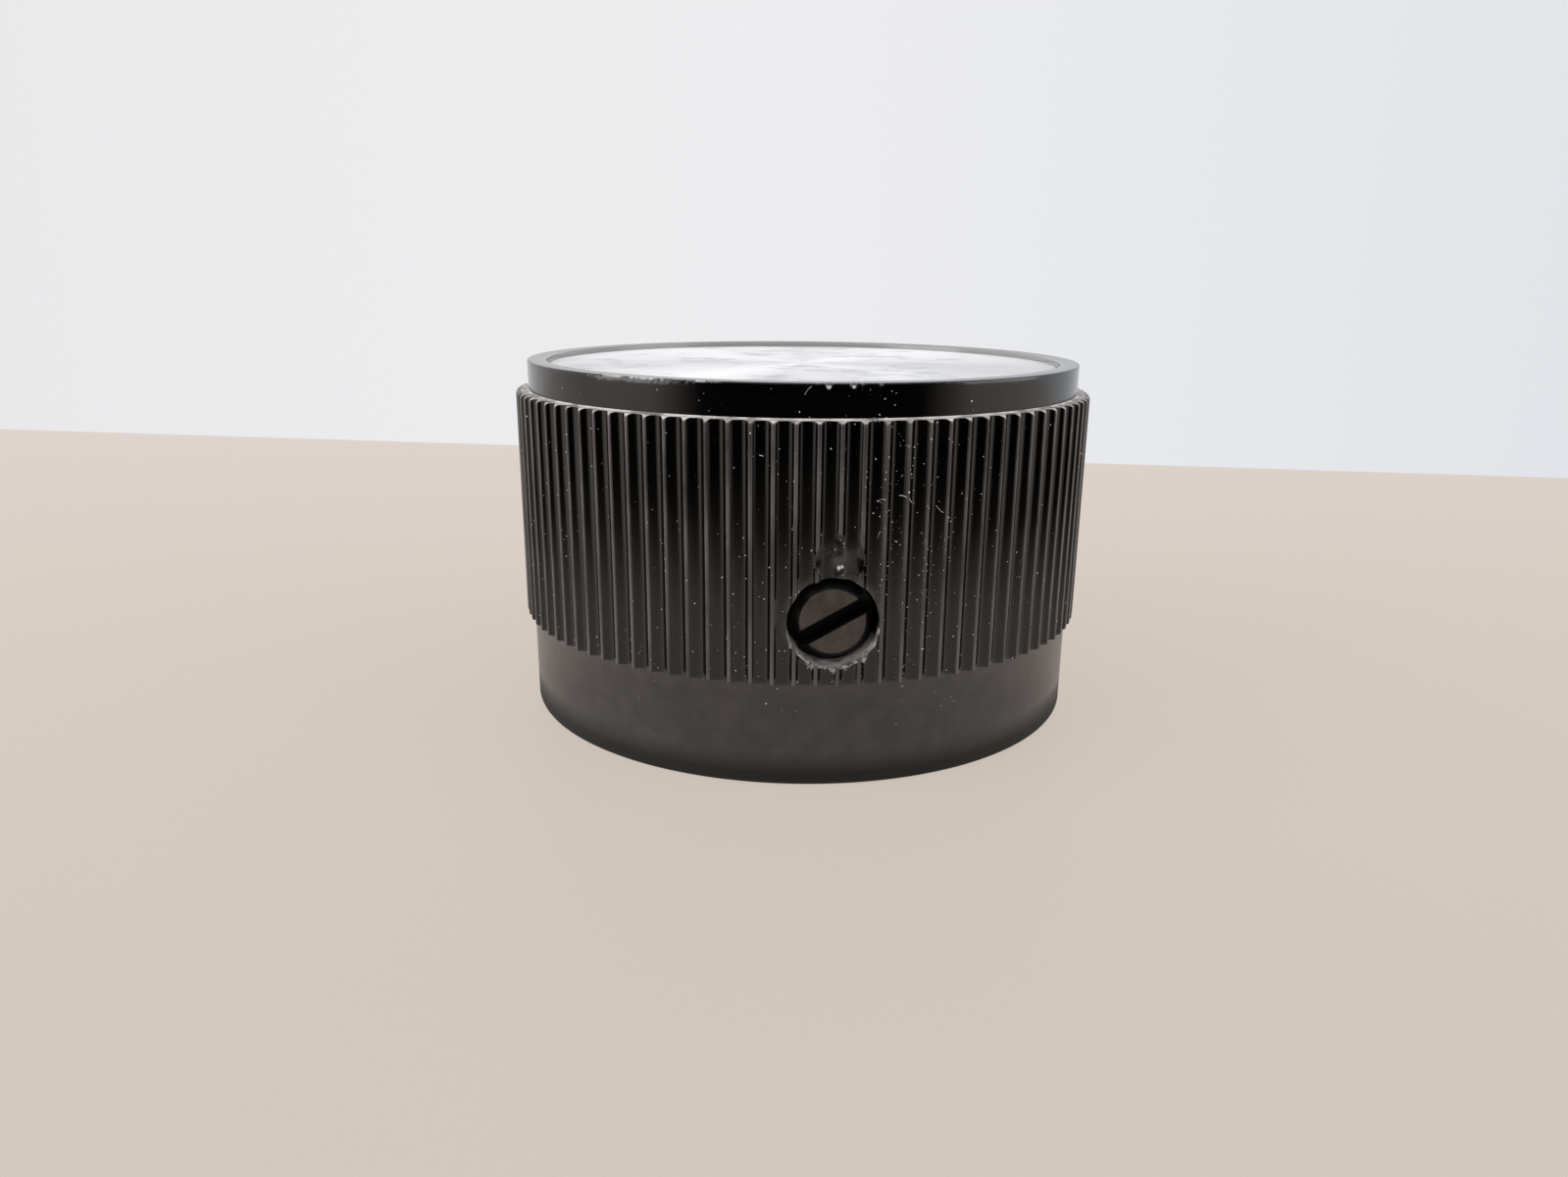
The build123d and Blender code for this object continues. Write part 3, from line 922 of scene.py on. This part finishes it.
bmesh.ops.create_cone(
    bm,
    cap_ends=True,
    segments=48,
    radius1=(CUP_RADIUS + 0.2) * MM,
    radius2=0.0,
    depth=(CUP_DEPTH + 0.11) * MM,
    matrix=Matrix.Translation(Vector((0, -SCREW_TIP - (CUP_DEPTH - 0.11) / 2, SCREW_HEIGHT)) * MM)
    @ Matrix.Rotation(math.pi / 2, 4, "X"),
)
bm.to_mesh(cup_cut.data)
bm.free()
screw = combine(screw, cup_cut, "DIFFERENCE")
screw.data.set_sharp_from_angle(angle=math.radians(30))
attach(screw, "root")
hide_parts("set_screw")

# Bond film: a thin amber smear of contact cement between the seat and the disc,
# rolled out unevenly. The disc hides it.
cement, tree = new_material("contact_cement")
place = node(tree, "ShaderNodeTexCoord").outputs["Object"]
# ridges about 2 mm apart
spread = node(tree, "ShaderNodeTexNoise", place, sockets={"Scale": 500.0, "Detail": 4.0})
thick = node(tree, "ShaderNodeMapRange", spread, 0.35, 0.65, 0.0, 1.0)
colour = node(tree, "ShaderNodeMixRGB", thick, srgb("a8925f"), srgb("c2b185"))
relief = node(tree, "ShaderNodeBump", 0.4, 0.03 * MM, sockets={"Height": spread})
shader = node(
    tree,
    "ShaderNodeBsdfPrincipled",
    sockets={"Base Color": colour, "Roughness": 0.5, "IOR": 1.5, "Normal": relief},
)
node(tree, "ShaderNodeOutputMaterial", shader)
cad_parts["disc_bond"].data.materials.clear()
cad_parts["disc_bond"].data.materials.append(cement)

# Spun disc: aluminium sheet, faced in a lathe so that fine rings fan the light out
# across them, with a bevelled edge and the mark of the lathe centre.
DISC_RADIUS = 14.15
DISC_BOTTOM = 18.2
DISC_TOP = 18.7
DISC_SIDES = 256
DISC_BEVEL = 0.12
CENTRE_MARK_RADIUS = 0.35
CENTRE_MARK_DEPTH = 0.05
DISC_DISH = 0.02
aluminium, tree = new_material("spun_aluminium")
place = node(tree, "ShaderNodeTexCoord").outputs["Object"]
flat = node(tree, "ShaderNodeVectorMath", place, (1, 1, 0), operation="MULTIPLY")
from_axis = node(tree, "ShaderNodeVectorMath", flat, operation="LENGTH").outputs["Value"]
# facing marks of a 0.1 mm feed
rings = node(
    tree,
    "ShaderNodeTexNoise",
    sockets={"W": from_axis, "Scale": 10000.0, "Detail": 3.0},
    noise_dimensions="1D",
)
parts = node(tree, "ShaderNodeSeparateXYZ", place)
bearing = node(tree, math_node, parts.outputs[0], parts.outputs[1], operation="ARCTAN2")
# the shine changes about three times in a radian round the disc, and its streaks in the colour are
# painted reflections
sweep = node(
    tree,
    "ShaderNodeTexNoise",
    sockets={"W": bearing, "Scale": 3.2, "Detail": 3.0},
    noise_dimensions="1D",
)
# finger smudges of about 3 mm
handling = node(
    tree,
    "ShaderNodeTexNoise",
    place,
    sockets={"Scale": 350.0, "Detail": 4.0, "Roughness": 0.6},
)
streak = node(tree, math_node, sweep, handling, operation="ADD")
# painted reflection: the colour darkens in streaks round the disc, mixed with the finger smudges
smudge_and_reflection_streaks = node(tree, "ShaderNodeMapRange", streak, 0.7, 1.3, 0.0, 1.0)
colour = node(tree, "ShaderNodeMixRGB", smudge_and_reflection_streaks, srgb("f8f8f8"), srgb("ececee"))
smudged = node(tree, "ShaderNodeMapRange", handling, 0.54, 0.64, 0.0, 0.45)
colour = node(tree, "ShaderNodeMixRGB", smudged, colour, srgb("b4b4b8"))
gloss = node(tree, "ShaderNodeMapRange", streak, 0.7, 1.3, 0.32, 0.4)
relief = node(tree, "ShaderNodeBump", 0.3, 0.01 * MM, sockets={"Height": rings})
lay = node(tree, "ShaderNodeTangent", direction_type="RADIAL", axis="Z")
shader = node(
    tree,
    "ShaderNodeBsdfPrincipled",
    sockets={
        "Base Color": colour,
        "Metallic": 1.0,
        "Roughness": gloss,
        "Anisotropic": 0.85,
        "Anisotropic Rotation": 0.25,
        "Tangent": lay,
        "Normal": relief,
    },
)
node(tree, "ShaderNodeOutputMaterial", shader)
disc_rows = [(DISC_RADIUS - 0.05, DISC_BOTTOM), (DISC_RADIUS, DISC_BOTTOM + 0.05)]
disc_rows += [(DISC_RADIUS, DISC_TOP - DISC_BEVEL * 0.6), (DISC_RADIUS - DISC_BEVEL, DISC_TOP)]
for reach in (13.0, 11.5, 10.0, 8.5, 7.0, 5.5, 4.0, 2.5, 1.2, 0.6, 0.36):
    disc_rows.append((reach, DISC_TOP - DISC_DISH * (1 - (reach / DISC_RADIUS) ** 2)))
for reach in (0.3, 0.2, 0.1):
    sunk = CENTRE_MARK_DEPTH * (1 - (reach / CENTRE_MARK_RADIUS) ** 2)
    disc_rows.append((reach, DISC_TOP - DISC_DISH - sunk))
verts = [(0, 0, DISC_BOTTOM * MM)]
faces = []
for reach, level in disc_rows:
    for side in range(DISC_SIDES):
        around = 2 * math.pi * side / DISC_SIDES
        verts.append((reach * math.cos(around) * MM, reach * math.sin(around) * MM, level * MM))
verts.append((0, 0, (DISC_TOP - DISC_DISH - CENTRE_MARK_DEPTH) * MM))
for side in range(DISC_SIDES):
    after = (side + 1) % DISC_SIDES
    faces.append((0, 1 + after, 1 + side))
    for row in range(len(disc_rows) - 1):
        a, b = 1 + row * DISC_SIDES, 1 + (row + 1) * DISC_SIDES
        faces.append((a + side, a + after, b + after, b + side))
    last = 1 + (len(disc_rows) - 1) * DISC_SIDES
    faces.append((last + side, last + after, len(verts) - 1))
disc = piece("spun_disc", verts, faces, aluminium)
for polygon in disc.data.polygons:
    polygon.use_smooth = True
disc.data.set_sharp_from_angle(angle=math.radians(25))
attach(disc, "root")
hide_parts("top_disc")

# Dust: pale grains and a few short fibres that have settled in the flutes and on
# the ledges, thickest to the right of the screw hole.
grey_lint, tree = new_material("grey_house_dust")
place = node(tree, "ShaderNodeTexCoord").outputs["Object"]
# dull and pale grains mix at about 0.3 mm
mixture = node(tree, "ShaderNodeTexNoise", place, sockets={"Scale": 3000.0, "Detail": 1.0})
kind = node(tree, "ShaderNodeMapRange", mixture, 0.4, 0.6, 0.0, 1.0)
colour = node(tree, "ShaderNodeMixRGB", kind, srgb("c9c5c1"), srgb("fbf9f7"))
shader = node(
    tree, "ShaderNodeBsdfPrincipled", sockets={"Base Color": colour, "Roughness": 0.8, "IOR": 1.5}
)
node(tree, "ShaderNodeOutputMaterial", shader)

# place in mm, reach in mm and how many times thicker
DUST_CLUSTERS = [
    ((2.33, -15.02, 18.25), 0.5, 10.0),
    ((2.0, -15.74, 13.4), 0.9, 4.0),
    ((3.2, -15.5, 12.6), 1.1, 4.0),
    ((1.2, -15.8, 14.4), 0.8, 3.0),
    ((2.9, -15.6, 15.6), 0.9, 3.0),
    ((4.4, -15.2, 10.6), 0.9, 3.0),
    ((-4.4, -15.2, 6.4), 0.9, 4.0),
    ((3.3, -15.5, 6.2), 0.8, 3.0),
]
tree = bpy.data.node_groups.new("settled_dust", "GeometryNodeTree")
tree.is_modifier = True
tree.interface.new_socket("Surface", in_out="INPUT", socket_type="NodeSocketGeometry")
for label, value in (
    ("Grains Per Square Metre", 1.2e7),
    ("Grain Radius", 0.03 * MM),
    ("Thickest Bearing", math.radians(9)),
    ("Bearing Spread", math.radians(26)),
    ("Lowest", 0.6 * MM),
    ("Widest Reach", 15.84 * MM),
    ("Highest", 18.94 * MM),
):
    tree.interface.new_socket(label, in_out="INPUT", socket_type="NodeSocketFloat").default_value = value
tree.interface.new_socket("Seed", in_out="INPUT", socket_type="NodeSocketInt").default_value = 7
tree.interface.new_socket("Material", in_out="INPUT", socket_type="NodeSocketMaterial")
tree.interface.new_socket("Dust", in_out="OUTPUT", socket_type="NodeSocketGeometry")
given = node(tree, "NodeGroupInput").outputs
spot = node(tree, "GeometryNodeInputPosition")
parts = node(tree, "ShaderNodeSeparateXYZ", spot)
toward = node(tree, math_node, parts.outputs[1], -1.0, operation="MULTIPLY")
bearing = node(tree, math_node, parts.outputs[0], toward, operation="ARCTAN2")
off = node(tree, math_node, bearing, given["Thickest Bearing"], operation="SUBTRACT")
off = node(tree, math_node, off, operation="ABSOLUTE")
near = node(tree, "ShaderNodeMapRange", off, 0.0, given["Bearing Spread"], 1.0, 0.3)
on_band = node(
    tree, "ShaderNodeMapRange", parts.outputs[2], band_foot - 0.1 * MM, band_foot, 0.06, 1.0
)
on_rim = node(
    tree,
    "ShaderNodeMapRange",
    parts.outputs[2],
    band_top + 0.05 * MM,
    band_top + 0.15 * MM,
    1.0,
    0.12,
)
near = node(tree, math_node, near, on_band, operation="MULTIPLY")
near = node(tree, math_node, near, on_rim, operation="MULTIPLY")
for place, reach, more in DUST_CLUSTERS:
    apart = node(tree, "ShaderNodeVectorMath", spot, [n * MM for n in place], operation="DISTANCE")
    apart = apart.outputs["Value"]
    extra = node(tree, "ShaderNodeMapRange", apart, reach * MM, 0.3 * reach * MM, 0.0, more)
    near = node(tree, math_node, near, extra, operation="ADD")
# clumps about 1.4 mm apart
clumps = node(tree, "ShaderNodeTexNoise", spot, sockets={"Scale": 700.0, "Detail": 2.0})
clumps = node(tree, "ShaderNodeMapRange", clumps, 0.45, 0.75, 0.12, 1.0)
flat = node(tree, "ShaderNodeVectorMath", spot, (1, 1, 0), operation="MULTIPLY")
reach = node(tree, "ShaderNodeVectorMath", flat, operation="LENGTH").outputs["Value"]
outside = node(tree, math_node, reach, 15.0 * MM, operation="GREATER_THAN")
above = node(tree, math_node, parts.outputs[2], given["Lowest"], operation="GREATER_THAN")
thick = node(tree, math_node, near, clumps, operation="MULTIPLY")
thick = node(tree, math_node, thick, outside, operation="MULTIPLY")
thick = node(tree, math_node, thick, above, operation="MULTIPLY")
thick = node(tree, math_node, thick, given["Grains Per Square Metre"], operation="MULTIPLY")
strewn = node(
    tree,
    "GeometryNodeDistributePointsOnFaces",
    given["Surface"],
    sockets={"Density": thick, "Seed": given["Seed"]},
)
wide_x = node(tree, math_node, parts.outputs[0], operation="ABSOLUTE")
wide_y = node(tree, math_node, parts.outputs[1], operation="ABSOLUTE")
wide = node(tree, math_node, wide_x, wide_y, operation="MAXIMUM")
too_wide = node(tree, math_node, wide, given["Widest Reach"], operation="GREATER_THAN")
too_high = node(tree, math_node, parts.outputs[2], given["Highest"], operation="GREATER_THAN")
outlying = node(tree, math_node, too_wide, too_high, operation="MAXIMUM")
kept = node(tree, "GeometryNodeDeleteGeometry", strewn, outlying, domain="POINT")
grain = node(tree, "GeometryNodeMeshIcoSphere", given["Grain Radius"], 1)
size = node(
    tree,
    "FunctionNodeRandomValue",
    sockets={2: 0.45, 3: 1.05, "Seed": given["Seed"]},
    data_type="FLOAT",
)
size = node(tree, math_node, size.outputs[1], 3.0, operation="POWER")
stretch = node(
    tree,
    "FunctionNodeRandomValue",
    sockets={0: (0.6, 0.6, 0.5), 1: (1.6, 1.6, 0.9), "Seed": 3},
    data_type="FLOAT_VECTOR",
)
scale = node(tree, "ShaderNodeVectorMath", stretch, operation="SCALE", sockets={"Scale": size})
grains = node(
    tree,
    "GeometryNodeInstanceOnPoints",
    kept,
    sockets={"Instance": grain, "Rotation": strewn.outputs["Rotation"], "Scale": scale},
)
real = node(tree, "GeometryNodeRealizeInstances", grains)
painted = node(tree, "GeometryNodeSetMaterial", real, sockets={"Material": given["Material"]})
node(tree, "NodeGroupOutput", painted)
surface = bpy.data.objects.new("surface", body.data.copy())
scene.collection.objects.link(surface)
dust = grow(surface, tree, "settled_dust", Material=grey_lint)
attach(dust, "root")

# fibres: bearing and height of each end, in degrees and millimetres, and how far it bows
FIBRES = [
    (-5.3, 18.5, -4.2, 18.85, 0.06),
    (10.3, 14.1, 12.6, 13.75, 0.1),
    (17.0, 13.54, 18.4, 13.19, -0.05),
    (-12.4, 15.9, -11.7, 15.86, 0.02),
    (6.9, 12.2, 7.3, 12.5, 0.05),
]
FIBRE_RADIUS = 0.014
FIBRE_STEPS = 8
FIBRE_SIDES = 5
verts, faces = [], []
for bearing_a, height_a, bearing_b, height_b, bow in FIBRES:
    start = len(verts)
    for step in range(FIBRE_STEPS + 1):
        share = step / FIBRE_STEPS
        bearing = math.radians(bearing_a + (bearing_b - bearing_a) * share)
        level = height_a + (height_b - height_a) * share + bow * math.sin(math.pi * share)
        for corner in range(FIBRE_SIDES):
            around = 2 * math.pi * corner / FIBRE_SIDES
            seat = RIM_RADIUS if level > FLUTE_TOP else CREST_RADIUS - 0.03
            reach = seat + FIBRE_RADIUS * math.cos(around)
            lift = level + FIBRE_RADIUS * math.sin(around)
            verts.append((reach * math.sin(bearing) * MM, -reach * math.cos(bearing) * MM, lift * MM))
    for step in range(FIBRE_STEPS):
        a = start + step * FIBRE_SIDES
        b = a + FIBRE_SIDES
        for corner in range(FIBRE_SIDES):
            after = (corner + 1) % FIBRE_SIDES
            faces.append((a + corner, b + corner, b + after, a + after))
    end = start + FIBRE_STEPS * FIBRE_SIDES
    faces += [tuple(range(start, start + FIBRE_SIDES)), tuple(range(end, end + FIBRE_SIDES))]
fibres = piece("lint_fibres", verts, faces, grey_lint)
face_outwards(fibres)
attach(fibres, "root")
